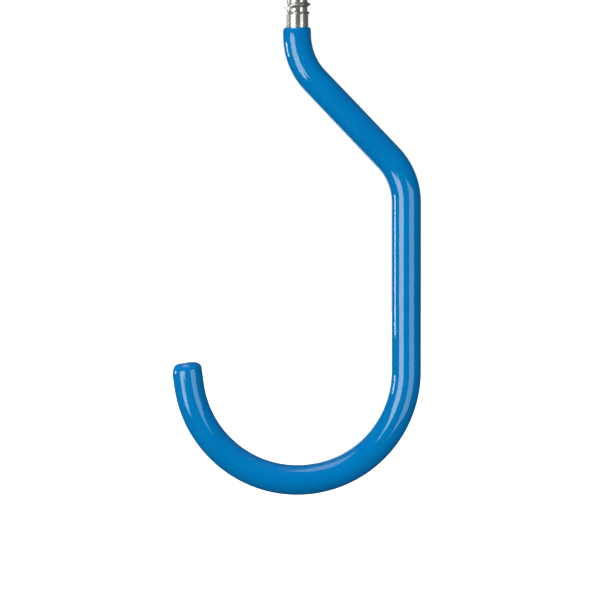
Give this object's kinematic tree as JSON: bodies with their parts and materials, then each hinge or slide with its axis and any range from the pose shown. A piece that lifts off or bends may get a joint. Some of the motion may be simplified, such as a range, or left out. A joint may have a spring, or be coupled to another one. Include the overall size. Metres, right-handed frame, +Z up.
{
  "type": "bicycle storage hook",
  "caption": "Screw-in ceiling hook that hangs a bicycle by its wheel: a bent steel rod with a wood thread, jacketed in dipped vinyl from below the thread to over the tip.",
  "frame": {"origin": "on the screw's axis, in the plane of the vinyl jacket's top ring, where the hook stops against the joist", "axes": "+Z up along the screw towards its point, +X from the screw's axis towards the long leg, +Y square to the plane of the hook"},
  "size_m": [0.1053, 0.012, 0.2485],
  "materials": {
    "zinc_plated_steel": "bright zinc plating over a rolled thread and drawn bar",
    "blue_vinyl": "glossy dipped vinyl, smooth with a soft dip line at its top edge"
  },
  "bodies": {
    "root": {"hook_rod": "zinc_plated_steel", "vinyl_coating": "blue_vinyl"}
  },
  "joints": []
}
